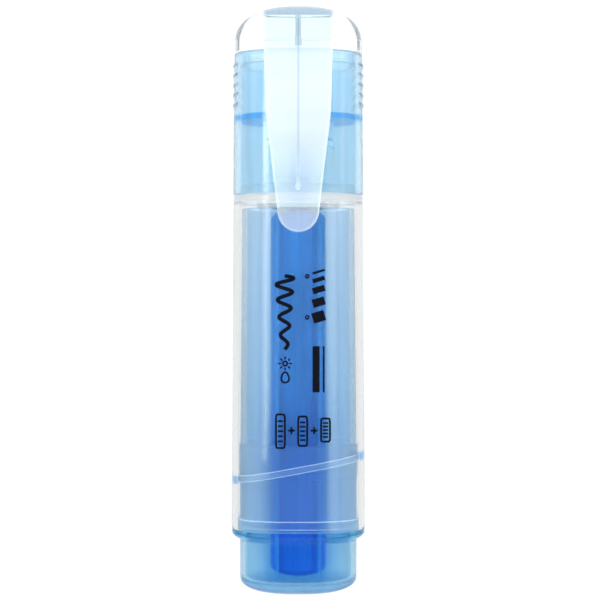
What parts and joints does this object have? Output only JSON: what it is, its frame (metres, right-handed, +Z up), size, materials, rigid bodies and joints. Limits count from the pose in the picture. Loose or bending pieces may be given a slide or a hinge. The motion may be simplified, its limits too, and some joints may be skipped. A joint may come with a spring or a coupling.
{
  "type": "highlighter marker",
  "caption": "Capped highlighter with a clear oval barrel over a tinted ink tube, a fibre reservoir, a chisel nib, and a pull-off cap with a clear crown and a flexing pocket clip.",
  "frame": {"origin": "under the middle of the pen's length, on the surface that it lies on with the clip facing up", "axes": "+Y along the pen towards the cap, +Z up through the clip, +X across the pen's width"},
  "size_m": [0.0262, 0.115, 0.021],
  "materials": {
    "clear_plastic": "polished clear",
    "tube_plastic": "translucent light blue",
    "ink_fibre": "bonded fibre soaked with blue ink",
    "wrap_film": "thin clear film",
    "nose_plastic": "pale moulded plastic",
    "nib_felt": "dense blue felt",
    "cap_plastic": "translucent light blue",
    "liner_plastic": "translucent mid blue",
    "clip_plastic": "polished clear with a faint blue tint"
  },
  "bodies": {
    "pen": {"barrel": "clear_plastic", "ink_tube": "tube_plastic", "reservoir": "ink_fibre", "reservoir_wrap": "wrap_film", "nose_holder": "nose_plastic", "nib": "nib_felt"},
    "cap": {"cap_body": "cap_plastic", "cap_liner": "liner_plastic", "crown": "clear_plastic"},
    "clip": {"clip": "clip_plastic"}
  },
  "joints": [
    {"name": "cap_slide", "type": "slide", "parent": "pen", "child": "cap", "axis": [0, 1, 0], "range_m": [0, 0.045]},
    {"name": "clip_flex", "type": "hinge", "parent": "cap", "child": "clip", "pos_m": [0, 0.0482, 0.02015], "axis": [-1, 0, 0], "range_deg": [0, 7], "stiffness_Nm_per_rad": 0.3}
  ]
}
